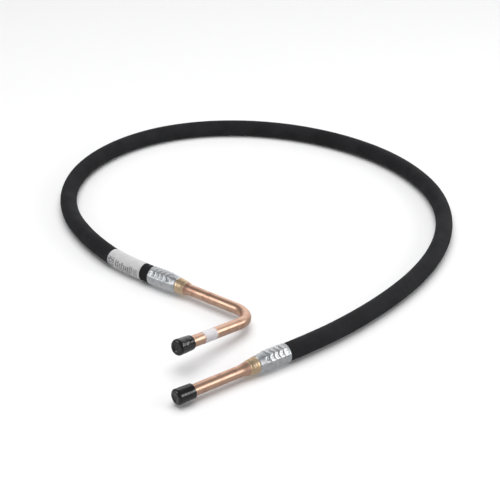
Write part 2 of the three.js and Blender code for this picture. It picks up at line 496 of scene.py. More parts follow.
@dataclass(frozen=True)
class PrintedFilm:
    """White label film with plain grey marks: a block of squares and columns of short bars."""

    name: str
    color: tuple[float, float, float] = (0.56, 0.56, 0.555)
    shade: tuple[float, float, float] = (0.51, 0.51, 0.51)
    ink: tuple[float, float, float] = (0.10, 0.10, 0.11)
    girth: float = 76 * MM
    module: float = 1.35 * MM
    block_along: tuple[float, float] = (1.7 * MM, 13.2 * MM)
    block_across: tuple[float, float] = (38.5 * MM, 51.7 * MM)
    block_gaps: float = 0.34
    column: float = 3.7 * MM
    column_span: tuple[float, float] = (0.10, 0.78)
    columns_along: tuple[float, float] = (16.2 * MM, 47.5 * MM)
    columns_across: tuple[float, float] = (37 * MM, 56 * MM)
    ragged: tuple[float, float] = (6 * MM, 9 * MM)
    dash: tuple[float, float] = (0.7 * MM, 0.9 * MM)
    dash_gaps: float = 0.30
    hatch_along: tuple[float, float] = (49 * MM, 57 * MM)
    hatch_across: tuple[float, float] = (41 * MM, 50 * MM)
    hatch_line: float = 0.3 * MM
    hatch_ink: float = 0.8

    def paint(self) -> bpy.types.Material:
        """Builds the material.

        Returns:
            The material.
        """
        p = Paint(self.name)
        along, around = p.surface_place()
        cloud = p.noise(p.object_point(), 150, 3)
        color = p.mix(cloud.steps(0.35, 0.7), self.color, self.shade)
        p.set(
            Base_Color=p.mix(self.marks(p, along, around) * 0.92, color, self.ink),
            Roughness=0.38 + cloud * 0.15,
            Normal=p.bump(p.noise(p.object_point(), 260, 3), 0.06 * MM, 0.5),
        )
        return p.material

    @staticmethod
    def window(value: Sock, low: Sock | float, high: Sock | float) -> Sock:
        """1 between two values, else 0."""
        return (value > low) * (value < high)

    @staticmethod
    def random(p: Paint, x: Sock, y: Sock | float) -> Sock:
        """Adds White Noise.

        Args:
            p: The material being built.
            x: The first number.
            y: The second number.

        Returns:
            A random number from 0 to 1 for each pair.
        """
        cell = p.node("ShaderNodeCombineXYZ", inputs={"X": x, "Y": y})
        return p.node("ShaderNodeTexWhiteNoise", {"noise_dimensions": "2D"}, {"Vector": cell})

    def block(self, p: Paint, along: Sock, across: Sock) -> Sock:
        """The block of squares.

        Args:
            p: The material being built.
            along: Metres along the label.
            across: Metres around the label.

        Returns:
            The mask.
        """
        speck = self.random(p, (along / self.module).floor(), (across / self.module).floor())
        block = (speck > self.block_gaps) * self.window(along, *self.block_along)
        return block * self.window(across, *self.block_across)

    def columns(self, p: Paint, along: Sock, across: Sock) -> Sock:
        """The columns of short bars, each of its own length.

        Args:
            p: The material being built.
            along: Metres along the label.
            across: Metres around the label.

        Returns:
            The mask.
        """
        place = (along - self.columns_along[0]) / self.column
        number = place.floor()
        low = self.columns_across[0] + self.random(p, number, 3.0) * self.ragged[0]
        high = self.columns_across[1] - self.random(p, number, 8.0) * self.ragged[1]
        dash = self.random(p, (along / self.dash[0]).floor(), (across / self.dash[1]).floor())
        bars = self.window(place - number, *self.column_span) * (dash > self.dash_gaps)
        return bars * self.window(across, low, high) * self.window(along, *self.columns_along)

    def hatching(self, along: Sock, across: Sock) -> Sock:
        """The hatched field.

        Args:
            along: Metres along the label.
            across: Metres around the label.

        Returns:
            The mask.
        """
        lines = along.pingpong(2 * self.hatch_line) > self.hatch_line
        field_on = self.window(along, *self.hatch_along) * self.window(across, *self.hatch_across)
        return lines * field_on * self.hatch_ink

    def marks(self, p: Paint, along: Sock, around: Sock) -> Sock:
        """The printed marks on the lower half that faces out: a block of squares, columns and hatching.

        Args:
            p: The material being built.
            along: Metres along the label.
            around: Turns around the label.

        Returns:
            The mask.
        """
        across = around * self.girth
        marks = self.block(p, along, across).math("MAXIMUM", self.columns(p, along, across))
        return marks.math("MAXIMUM", self.hatching(along, across))


@dataclass(frozen=True)
class ClearFilm:
    """Pale film that the copper shows through, fading at both ends."""

    length: float
    color: tuple[float, float, float] = (0.84, 0.82, 0.84)
    mark: tuple[float, float, float] = (0.50, 0.50, 0.54)
    fade: float = 4.5 * MM

    def paint(self) -> bpy.types.Material:
        """Builds the material.

        Returns:
            The material.
        """
        p = Paint("tube_label_film")
        along, around = p.surface_place()
        point = p.object_point()
        cloud = p.noise(point, 210, 3)
        faint = p.noise(p.scaled(point, (1.6, 0.6, 0.6)), 900, 2).steps(0.60, 0.66)
        ends = along.steps(0, self.fade) * (self.length - along).steps(0, self.fade)
        p.set(
            Base_Color=p.mix(faint * 0.35, self.color, self.mark),
            Roughness=0.32 + cloud * 0.2,
            Alpha=ends * (0.50 + cloud * 0.4),
        )
        return p.material


@dataclass
class Part:
    """Builds one piece and puts it in the frame."""

    name: str
    body: Body
    slot: Slot
    nodes: tuple[str, ...]

    def place(self, mesh: bpy.types.Mesh, matrix: Matrix,
              finish: bpy.types.Material) -> bpy.types.Object:
        """Makes the object of a mesh, dressed, riding on its body and standing for its nodes.

        Args:
            mesh: The mesh, in its own metres.
            matrix: Where it goes.
            finish: The material.

        Returns:
            The object.
        """
        mesh.materials.append(finish)
        piece = bpy.data.objects.new(self.name, mesh)
        bpy.context.scene.collection.objects.link(piece)
        piece.matrix_world = matrix
        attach(piece, self.body.value)
        if self.nodes:
            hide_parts(*self.nodes)
        LOG.info("%s: %d faces on %s", self.name, len(mesh.polygons), self.body.value)
        return piece


def mesh_of_rings(name: str, rings: list[list[Vector]], lengths: list[float], closed: bool,
                  sharp: float = 40.0) -> bpy.types.Mesh:
    """A skin over rings of points, with metres along and turns around it in its uv map.

    Args:
        name: The mesh's name.
        rings: Rings of equally many points, in metres.
        lengths: What the uv map says of each ring's place along the piece.
        closed: Whether the last ring joins the first; otherwise both ends get a face.
        sharp: Degrees between two faces from which their edge is drawn sharp.

    Returns:
        The mesh, facing out.
    """
    sides = len(rings[0])
    points = [point for ring in rings for point in ring]
    faces = []
    places = []
    for i in range(len(rings) if closed else len(rings) - 1):
        j = (i + 1) % len(rings)
        for k in range(sides):
            m = (k + 1) % sides
            faces.append((i * sides + k, j * sides + k, j * sides + m, i * sides + m))
            low, high = k / sides, (k + 1) / sides
            near, far = lengths[i], lengths[j]
            places.append([(near, low), (far, low), (far, high), (near, high)])
    if not closed:
        last = (len(rings) - 1) * sides
        faces.append(tuple(range(sides)))
        places.append([(lengths[0], k / sides) for k in range(sides)])
        faces.append(tuple(last + k for k in reversed(range(sides))))
        places.append([(lengths[-1], k / sides) for k in reversed(range(sides))])
    mesh = bpy.data.meshes.new(name)
    mesh.from_pydata(points, [], faces)
    wrap = mesh.uv_layers.new(name="wrap")
    flat = [value for face in places for corner in face for value in corner]
    wrap.data.foreach_set("uv", flat)
    shape = bmesh.new()
    shape.from_mesh(mesh)
    bmesh.ops.recalc_face_normals(shape, faces=shape.faces)
    if shape.calc_volume(signed=True) < 0:
        bmesh.ops.reverse_faces(shape, faces=shape.faces)
    shape.to_mesh(mesh)
    shape.free()
    mesh.shade_smooth()
    mesh.set_sharp_from_angle(angle=math.radians(sharp))
    return mesh


def turned_rings(profile: Profile, sides: int, relief: Relief | None = None) -> list[list[Vector]]:
    """Rings about the x axis.

    Args:
        profile: x and radius of each ring, in millimetres.
        sides: Points in a ring.
        relief: What to add to the radius at an x and an angle, in millimetres.

    Returns:
        The rings, in metres.
    """
    rings = []
    for x, radius in profile:
        ring = []
        for k in range(sides):
            angle = TAU * k / sides
            r = radius + (relief(x, angle) if relief else 0)
            ring.append(Vector((x, r * math.cos(angle), r * math.sin(angle))) * MM)
        rings.append(ring)
    return rings


def smooth(t: float) -> float:
    """A smooth step from 0 to 1."""
    t = min(max(t, 0.0), 1.0)
    return t * t * (3 - 2 * t)


def rounded(corner: tuple[float, float], before: tuple[float, float], after: tuple[float, float],
            radius: float, steps: int = 5) -> Profile:
    """A corner of a profile, rounded.

    Args:
        corner: The corner.
        before: The point that the profile comes from.
        after: The point that it goes to.
        radius: How far from the corner the rounding starts.
        steps: How many edges it has.

    Returns:
        Its points.
    """
    c = Vector(corner)
    start = c + (Vector(before) - c).normalized() * radius
    end = c + (Vector(after) - c).normalized() * radius
    points = []
    for i in range(steps + 1):
        t = i / steps
        point = start * (1 - t) ** 2 + c * (2 * t * (1 - t)) + end * t ** 2
        points.append((point.x, point.y))
    return points


def rounded_profile(corners: list[tuple[float, float, float]], longest: float) -> Profile:
    """A closed profile with rounded corners.

    Args:
        corners: x, radius and rounding of each corner.
        longest: The greatest length of an edge.

    Returns:
        The profile's points.
    """
    points: Profile = []
    count = len(corners)
    for i, (x, r, rounding) in enumerate(corners):
        before = corners[i - 1][:2]
        after = corners[(i + 1) % count][:2]
        if rounding > 0:
            points += rounded((x, r), before, after, rounding)
        else:
            points.append((x, r))
    filled: Profile = []
    for i, (x, r) in enumerate(points):
        nx, nr = points[(i + 1) % len(points)]
        pieces = max(1, math.ceil(math.hypot(nx - x, nr - r) / longest))
        filled += [(x + (nx - x) * j / pieces, r + (nr - r) * j / pieces) for j in range(pieces)]
    return filled


@dataclass
class Fitting:
    """Where a hose end's fitting stands: the mouth of its ferrule and its heading from there."""

    name: str
    x: float
    y: float
    heading: float
    height: float = 13.2

    def matrix(self) -> Matrix:
        """From the fitting's own metres to the frame's."""
        place = Matrix.Translation(Vector((self.x, self.y, self.height)) * MM)
        return place @ Matrix.Rotation(math.radians(self.heading), 4, "Z")

    def along(self, distance: float) -> Vector:
        """Finds a point on the fitting's axis.

        Args:
            distance: Millimetres from the ferrule's mouth.

        Returns:
            The point in the frame, in millimetres.
        """
        angle = math.radians(self.heading)
        way = Vector((math.cos(angle), math.sin(angle), 0))
        return Vector((self.x, self.y, self.height)) + way * distance


STRAIGHT_END = Fitting("straight_end", 70.82, -127.1, 180)
BENT_END = Fitting("bent_end", 52.49, 137.22, -76)


def across_way(way: Vector) -> tuple[Vector, Vector]:
    """Left and up of someone who looks along a direction."""
    left = Vector((-way.y, way.x, 0)).normalized()
    return left, way.cross(left)


@dataclass
class Hose:
    """The barrier hose, on the route of its solid, with its bore."""

    radius: float = 11.92
    bore: float = 6.5
    in_ferrule: float = 31
    straight_out: float = 10
    ring_every: float = 2.0
    bore_every: int = 4
    line_step: float = 1.0
    cord_step: float = 8
    sides: int = 72
    route: list[tuple[float, float, float]] = field(default_factory=lambda: [
        (143.9, -124, 0.6), (207.9, -114.9, 0.25), (270.9, -100.1, 0.07), (332.9, -78.5, 0.02),
        (390.9, -48.5, 0), (442.9, -9.5, 0), (485.9, 38.5, 0), (517.9, 94.5, 0), (536.4, 156.5, 0),
        (541.4, 220.5, 0), (532.9, 285.5, 0), (511.9, 347.5, 0), (478.9, 404.5, 0), (434.9, 452.5, 0),
        (381.9, 488.5, 0), (321.4, 509.5, 0), (257.4, 512, 0), (194.4, 496, 0), (137.9, 463, 0),
        (92.9, 415.5, 0.03), (61.9, 358, 0.15), (45.4, 295.5, 0.45), (39.4, 231.5, 0.8),
        (40.9, 191.5, 1),
    ])

    def points(self) -> list[Vector]:
        """Finds the points that the hose runs through.

        Returns:
            The points from the straight end to the bent end, in millimetres.
        """
        rise = STRAIGHT_END.height - self.radius
        middle = [Vector((x, y, self.radius + share * rise)) for x, y, share in self.route]
        depths = (self.in_ferrule, self.in_ferrule / 2, 0, -self.straight_out)
        first = [STRAIGHT_END.along(depth) for depth in depths]
        last = [BENT_END.along(depth) for depth in reversed(depths)]
        return first + middle + last

    def line(self) -> list[Vector]:
        """Draws the smooth curve through the route.

        Returns:
            Points close together on it, in millimetres.
        """
        p = self.points()
        p = [p[0] * 2 - p[1], *p, p[-1] * 2 - p[-2]]
        dense: list[Vector] = []
        for i in range(1, len(p) - 2):
            a, b, c, d = p[i - 1:i + 3]
            t1 = math.sqrt((b - a).length)
            t2 = t1 + math.sqrt((c - b).length)
            t3 = t2 + math.sqrt((d - c).length)
            steps = max(4, round((c - b).length / self.line_step))
            for k in range(steps):
                t = t1 + (t2 - t1) * k / steps
                ab = a * ((t1 - t) / t1) + b * (t / t1)
                bc = b * ((t2 - t) / (t2 - t1)) + c * ((t - t1) / (t2 - t1))
                cd = c * ((t3 - t) / (t3 - t2)) + d * ((t - t2) / (t3 - t2))
                abc = ab * ((t2 - t) / t2) + bc * (t / t2)
                bcd = bc * ((t3 - t) / (t3 - t1)) + cd * ((t - t1) / (t3 - t1))
                dense.append(abc * ((t2 - t) / (t2 - t1)) + bcd * ((t - t1) / (t2 - t1)))
        dense.append(p[-2])
        return dense

    def stations(self, start: float, end: float, step: float) -> list[tuple[float, Vector, Vector]]:
        """Walks along the line in even steps, in millimetres.

        Args:
            start: Where to start; below 0 it is counted from the line's end.
            end: Where to end; at 0 or below it is counted from the line's end.
            step: About how long a step is.

        Returns:
            Distance, point and direction at each step.
        """
        dense = self.line()
        reach = [0.0]
        for a, b in zip(dense, dense[1:]):
            reach.append(reach[-1] + (b - a).length)
        end = reach[-1] + end if end <= 0 else end
        start = reach[-1] + start if start < 0 else start
        count = max(2, round((end - start) / step))
        found = []
        i = 0
        for k in range(count + 1):
            want = start + (end - start) * k / count
            while i < len(dense) - 2 and reach[i + 1] < want:
                i += 1
            t = (want - reach[i]) / (reach[i + 1] - reach[i])
            point = dense[i].lerp(dense[i + 1], t)
            low, high = max(0, i - 1), min(len(dense) - 1, i + 2)
            found.append((want, point, (dense[high] - dense[low]).normalized()))
        return found

    def length(self) -> float:
        """The line's length, in millimetres."""
        dense = self.line()
        return sum((b - a).length for a, b in zip(dense, dense[1:]))

    def ring(self, point: Vector, way: Vector, radius: float) -> list[Vector]:
        """Draws a circle round the line.

        Args:
            point: Its middle, in millimetres.
            way: The line's direction.
            radius: Its radius, in millimetres.

        Returns:
            Its points in metres, from the line's left.
        """
        left, up = across_way(way)
        ring = []
        for k in range(self.sides):
            angle = TAU * k / self.sides
            ring.append((point + (left * math.cos(angle) + up * math.sin(angle)) * radius) * MM)
        return ring

    def build(self) -> bpy.types.Object:
        """Builds the hose.

        Returns:
            The hose.
        """
        stations = self.stations(0, 0, self.ring_every)
        bored = stations[:-1:self.bore_every] + stations[-1:]
        outer = [self.ring(point, way, self.radius) for _, point, way in stations]
        inner = [self.ring(point, way, self.bore) for _, point, way in reversed(bored)]
        lengths = [s * MM for s, _, _ in (*stations, *reversed(bored))]
        mesh = mesh_of_rings("barrier_hose", outer + inner, lengths, closed=True, sharp=60)
        part = Part("barrier_hose", Body.LINE, Slot.HOSE, ("hose",))
        return part.place(mesh, Matrix.Identity(4), HoseRubber().paint())

    def declare(self) -> None:
        """Works out the hose's length and the points of a cord along it, in metres; nothing uses them.
        """
        stations = self.stations(0, 0, self.cord_step)
        self.length() * MM
        [p * MM for _, p, _ in reversed(stations)]


@dataclass
class HoseLabel:
    """The printed film wrapped once round the hose, with its overlap on the far side."""

    hose: Hose
    length: float = 60.5
    from_ferrule: float = 14.5
    film: float = 0.14
    lift: float = 0.06
    overlap: float = 0.10
    seam: float = -60
    step_from: float = 0.86
    step_run: float = 0.06
    step_gap: float = 0.05
    sides: int = 120

    def build(self) -> bpy.types.Object:
        """Builds the label.

        Returns:
            The label.
        """
        near = self.hose.in_ferrule + self.from_ferrule
        stations = self.hose.stations(-(near + self.length), -near, 1.0)
        base = self.hose.radius + self.lift
        rings = []
        for _, point, way in stations:
            left, up = across_way(way)
            ring = []
            for outside, thickness in ((True, self.film), (False, 0.0)):
                for k in range(self.sides + 1):
                    t = k / self.sides if outside else 1 - k / self.sides
                    angle = math.radians(self.seam) + t * (1 + self.overlap) * TAU
                    lift = (self.film + self.step_gap) * smooth((t - self.step_from) / self.step_run)
                    spoke = left * math.cos(angle) + up * math.sin(angle)
                    ring.append((point + spoke * (base + lift + thickness)) * MM)
            rings.append(ring)
        start = stations[0][0]
        mesh = self.skin(rings, [(s - start) * MM for s, _, _ in stations])
        part = Part("hose_label_wrap", Body.LINE, Slot.LABEL, ("hose_label",))
        return part.place(mesh, Matrix.Identity(4), PrintedFilm("hose_label_film").paint())

    def skin(self, rings: list[list[Vector]], lengths: list[float]) -> bpy.types.Mesh:
        """The label's mesh, with turns of the film itself in its uv map.

        Args:
            rings: Sections of the film.
            lengths: Metres along the hose of each.

        Returns:
            The mesh.
        """
        mesh = mesh_of_rings("hose_label_wrap", rings, lengths, closed=False, sharp=50)
        count = self.sides + 1
        turns = {}
        for i in range(len(rings)):
            for k in range(2 * count):
                j = k if k < count else 2 * count - 1 - k
                turns[i * 2 * count + k] = j / self.sides
        uv = mesh.uv_layers["wrap"].data
        for loop in mesh.loops:
            uv[loop.index].uv = (uv[loop.index].uv[0], turns[loop.vertex_index])
        return mesh


@dataclass
class Ferrule:
    """A crimped steel sleeve: thin mouth edge, dented collar, grooves and a turned-in end.

    The jaws leave a ring of flats at the collar and in every groove. A flat keeps only a share of
    what a real one would take off, and its middle is dented; the grooves arch between the flats.
    """

    fitting: Fitting
    length: float = 46
    radius: float = 13.15
    hose: float = 12.04
    mouth_edge: float = 12.55
    mouth_flare: float = 3.0
    lip: float = 9.75
    nose: float = 1.6
    nose_drop: float = 0.9
    taper: float = 18
    taper_drop: float = 1.8
    end_wall: float = 14
    jaw_angle: float = 43
    collar_start: float = 0.8
    collar_end: float = 9.0
    collar_fade: float = 2.6
    groove_first: float = 12.9
    groove_pitch: float = 7.2
    groove_width: float = 6.2
    groove_depth: float = 0.16
    groove_fade: float = 2.2
    grooves: int = 4
    rib: float = 0.3
    rib_width: float = 0.6
    jaws: int = 8
    flat_share: float = 0.35
    flat_dent: float = 0.36
    arch: float = 0.9
    ridge_share: float = 0.22
    waviness: float = 0.10
    roughness: float = 0.015
    plain_mouth: float = 0.4
    plain_nose: float = 1.0
    skin: float = 0.1
    rings: int = 170
    sides: int = 192

    def outside(self, x: float) -> float:
        """Finds the sleeve's radius before it is crimped.

        Args:
            x: Millimetres from the mouth.

        Returns:
            The radius, in millimetres.
        """
        flare = self.mouth_edge + (self.radius - self.mouth_edge) * smooth(x / self.mouth_flare)
        fall = self.taper_drop * smooth((x - (self.length - self.taper)) / self.taper)
        return flare - fall - self.nose_drop * smooth((x - (self.length - self.nose)) / self.nose) ** 2

    def relief(self, x: float, angle: float) -> float:
        """What the crimping jaws take off: a ring of flats at the collar and in every groove.

        Args:
            x: Millimetres from the mouth.
            angle: Radians around.

        Returns:
            What to add to the radius, in millimetres.
        """
        if x < self.plain_mouth or x > self.length - self.plain_nose:
            return 0.0
        half = math.pi / self.jaws
        off = (angle - math.radians(self.jaw_angle) + half) % (2 * half) - half
        middle = math.cos(math.pi * off / half)
        flat = self.radius * (1 - math.cos(half) / math.cos(off))
        flat = self.flat_share * flat + self.flat_dent * (1 + middle)
        jaw = self.pressed(x, self.arch * (1 - middle))
        wave = noise.noise(Vector((x * 0.4, math.cos(angle) * 3, math.sin(angle) * 3)))
        fine = noise.noise(Vector((x * 1.1, math.cos(angle) * 9, math.sin(angle) * 9)))
        cut = jaw * (flat + self.groove_depth) + (1 - min(jaw, 1.0)) * self.ridge_share * flat
        cut += self.waviness * (1 - wave) - self.roughness * fine
        if x < self.length - self.end_wall + 0.6:
            cut = min(cut, self.outside(x) - self.hose - self.skin)
        return -cut

    def pressed(self, x: float, arch: float) -> float:
        """Says how far the jaws press at a place.

        Args:
            x: Millimetres from the mouth.
            arch: How far the grooves reach towards the mouth there, in millimetres.

        Returns:
            0 on a ridge, 1 in the collar's or a groove's middle, and a little less on a groove's rib.
        """
        jaw = smooth((x - self.collar_start) / self.collar_fade)
        jaw *= smooth((self.collar_end - x) / self.collar_fade)
        for i in range(self.grooves):
            away = abs(x + arch - self.groove_first - i * self.groove_pitch)
            jaw += smooth((self.groove_width / 2 - away) / self.groove_fade)
            jaw -= self.rib * math.exp(-((away / self.rib_width) ** 2))
        return jaw

    def build(self, finish: bpy.types.Material) -> bpy.types.Object:
        """Builds the ferrule.

        Args:
            finish: Its plating.

        Returns:
            The ferrule.
        """
        end = self.length
        wall = end - self.end_wall
        steps = [end * i / self.rings for i in range(1, self.rings)]
        outer = [(x, self.outside(x)) for x in steps]
        mouth = [
            (0.35, self.hose), (0.08, self.hose + 0.12), (0.0, self.hose + 0.3),
            (0.06, self.mouth_edge - 0.12),
        ]
        nose = [
            (end, self.outside(end) - 0.25), (end, self.lip + 0.35), (end - 0.3, self.lip),
            (wall, self.lip), (wall, self.hose), (end / 2, self.hose),
        ]
        rings = turned_rings(mouth, self.sides)
        rings += turned_rings(outer, self.sides, self.relief)
        rings += turned_rings(nose, self.sides)
        lengths = [x * MM for x, _ in mouth + outer + nose]
        name = "crimped_ferrule_" + self.fitting.name
        mesh = mesh_of_rings(name, rings, lengths, closed=True, sharp=50)
        part = Part(name, Body.LINE, Slot.ZINC, ("ferrule_" + self.fitting.name,))
        return part.place(mesh, self.fitting.matrix(), finish)


@dataclass
class Stem:
    """The turned brass stem: barbed insert, collar and spigot, bored through."""

    fitting: Fitting
    start: float = 3.3
    seat: float = 31.3
    neck: float = 9.5
    ferrule_end: float = 46
    collar: float = 10.75
    collar_gap: float = 0.35
    collar_end: float = 58
    collar_small: float = 9.75
    groove_depth: float = 0.45
    insert: float = 5.9
    spigot: float = 6.2
    spigot_end: float = 84
    bore: float = 5.0
    sides: int = 96

    def build(self, finish: bpy.types.Material) -> bpy.types.Object:
        """Builds the stem.

        Args:
            finish: Its brass.

        Returns:
            The stem.
        """
        face = self.ferrule_end + self.collar_gap
        groove = self.collar - self.groove_depth
        corners = [
            (self.start, self.bore, 0.3), (self.start, self.insert, 0.3),
            (self.seat, self.insert, 0.2), (self.seat, self.neck, 0.3),
            (face, self.neck, 0.1), (face, self.collar, 0.3),
            (face + 3.4, self.collar - 0.05, 0.3), (face + 3.8, groove, 0.2),
            (face + 4.4, groove, 0.2), (face + 4.8, self.collar - 0.2, 0.3),
            (self.collar_end - 1.8, self.collar_small + 0.1, 0.7),
            (self.collar_end, self.collar_small - 0.6, 0.4),
            (self.collar_end, self.spigot, 0.2), (self.spigot_end, self.spigot, 0.4),
            (self.spigot_end, self.bore, 0.4),
        ]
        profile = rounded_profile(corners, 1.5)
        name = "brass_stem_" + self.fitting.name
        rings = turned_rings(profile, self.sides)
        mesh = mesh_of_rings(name, rings, [x * MM for x, _ in profile], closed=True)
        part = Part(name, Body.LINE, Slot.BRASS, ("stem_" + self.fitting.name,))
        return part.place(mesh, self.fitting.matrix(), finish)


@dataclass
class Bend:
    """A bend to the right in a tube that otherwise lies along x."""

    run: float
    radius: float
    turn: float
    flattening: float = 0.035

    def moved(self, point: Vector) -> Vector:
        """Bends a point of the straight tube.

        Args:
            point: The point, in metres.

        Returns:
            Where it goes, in metres.
        """
        run, radius, turn = self.run * MM, self.radius * MM, math.radians(self.turn)
        past = point.x - run
        if past <= 0:
            return point
        angle = min(past / radius, turn)
        rest = past - angle * radius
        squeeze = 1 - self.flattening * math.sin(math.pi * min(angle / turn, 1.0))
        reach = radius + point.y * squeeze
        return Vector((
            run + reach * math.sin(angle) + rest * math.cos(angle),
            reach * math.cos(angle) - rest * math.sin(angle) - radius,
            point.z,
        ))

    def end(self) -> Matrix:
        """Finds the straight leg behind the bend.

        Returns:
            The leg's own frame, from the bend's end, in metres.
        """
        turn = math.radians(self.turn)
        x = self.run + self.radius * math.sin(turn)
        y = -self.radius * (1 - math.cos(turn))
        return Matrix.Translation(Vector((x, y, 0)) * MM) @ Matrix.Rotation(-turn, 4, "Z")


@dataclass
class CopperTube:
    """A drawn copper tube with a belled end, straight or with one bend."""

    name: str
    node: str
    fitting: Fitting
    length: float
    bell_length: float
    bend: Bend | None = None
    rise: float = 0
    start: float = 58.3
    radius: float = 7.5
    wall: float = 1.0
    bell: float = 9.1
    ring_every: float = 1.5
    bore_every: int = 3
    sides: int = 96

    def matrix(self) -> Matrix:
        """From the tube's own metres to the frame's."""
        place = Matrix.Translation(Vector((self.start, 0, 0)) * MM)
        return self.fitting.matrix() @ place @ Matrix.Rotation(math.radians(-self.rise), 4, "X")

    def total(self) -> float:
        """The tube's length along its own line."""
        if self.bend is None:
            return self.length
        return self.bend.run + self.bend.radius * math.radians(self.bend.turn) + self.length

    def outside(self, x: float) -> float:
        """The outer radius at x."""
        return self.bell + (self.radius - self.bell) * smooth(x / self.bell_length)

    def build(self, finish: bpy.types.Material) -> bpy.types.Object:
        """Builds the tube.

        Args:
            finish: Its copper.

        Returns:
            The tube.
        """
        total = self.total()
        count = round(total / self.ring_every)
        steps = [total * i / count for i in range(count + 1)]
        outer = [(x, self.outside(x)) for x in steps]
        outer[0] = (0.25, self.outside(0))
        outer[-1] = (total - 0.2, self.radius)
        inner = [(x, r - self.wall) for x, r in outer[::self.bore_every]]
        inner[-1] = (total - 0.3, self.radius - self.wall)
        first = [(0, self.outside(0) - self.wall + 0.2), (0, self.outside(0) - 0.25)]
        last = [(total, self.radius - 0.2), (total, self.radius - self.wall + 0.25)]
        profile = first + outer + last + inner[::-1]
        rings = turned_rings(profile, self.sides)
        if self.bend is not None:
            rings = [[self.bend.moved(point) for point in ring] for ring in rings]
        mesh = mesh_of_rings(self.name, rings, [x * MM for x, _ in profile], closed=True, sharp=50)
        part = Part(self.name, Body.LINE, Slot.COPPER, (self.node,))
        return part.place(mesh, self.matrix(), finish)

    def leg(self) -> Matrix:
        """The frame of the tube's last straight stretch, from its start."""
        return self.matrix() if self.bend is None else self.matrix() @ self.bend.end()


@dataclass
class BrazeBead:
    """The bead of brazing alloy where a copper tube meets its stem's collar."""

    tube: CopperTube
    middle: float = 0.35
    half_width: float = 1.15
    height: float = 0.6
    sunk: float = 0.3
    unevenness: float = 0.16
    steps: int = 10
    sides: int = 120

    def relief(self, x: float, angle: float) -> float:
        """The bead's uneven flow, in millimetres at an x and an angle."""
        point = Vector((x * 0.6, math.cos(angle) * 2.6, math.sin(angle) * 2.6))
        return self.unevenness * noise.noise(point)

    def build(self, finish: bpy.types.Material) -> bpy.types.Object:
        """Builds the bead.

        Args:
            finish: Its alloy.

        Returns:
            The bead.
        """
        base = self.tube.bell - self.sunk
        profile = [(self.middle - self.half_width - 0.1, base - self.sunk)]
        for i in range(self.steps + 1):
            angle = math.pi * i / self.steps
            x = self.middle - self.half_width * math.cos(angle)
            profile.append((x, base + self.height * math.sin(angle)))
        profile.append((self.middle + self.half_width + 0.1, base - self.sunk))
        rings = turned_rings(profile, self.sides, self.relief)
        name = "braze_bead_" + self.tube.fitting.name
        mesh = mesh_of_rings(name, rings, [x * MM for x, _ in profile], closed=True)
        return Part(name, Body.LINE, Slot.BRASS, ()).place(mesh, self.tube.matrix(), finish)


@dataclass
class TubeLabel:
    """The plain pale film wrapped round the bent tube's leg."""

    tube: CopperTube
    start: float = 46
    length: float = 26
    film: float = 0.2
    sides: int = 96

    def build(self) -> bpy.types.Object:
        """Builds the label.

        Returns:
            The label.
        """
        inner = self.tube.radius + 0.05
        corners = [
            (0, inner, 0.05), (0, inner + self.film, 0.08),
            (self.length, inner + self.film, 0.08), (self.length, inner, 0.05),
        ]
        profile = rounded_profile(corners, 1.0)
        rings = turned_rings(profile, self.sides)
        mesh = mesh_of_rings("tube_label_wrap", rings, [x * MM for x, _ in profile], closed=True)
        part = Part("tube_label_wrap", Body.LINE, Slot.LABEL, ("tube_label",))
        place = self.tube.leg() @ Matrix.Translation((self.start * MM, 0, 0))
        return part.place(mesh, place, ClearFilm(self.length * MM).paint())


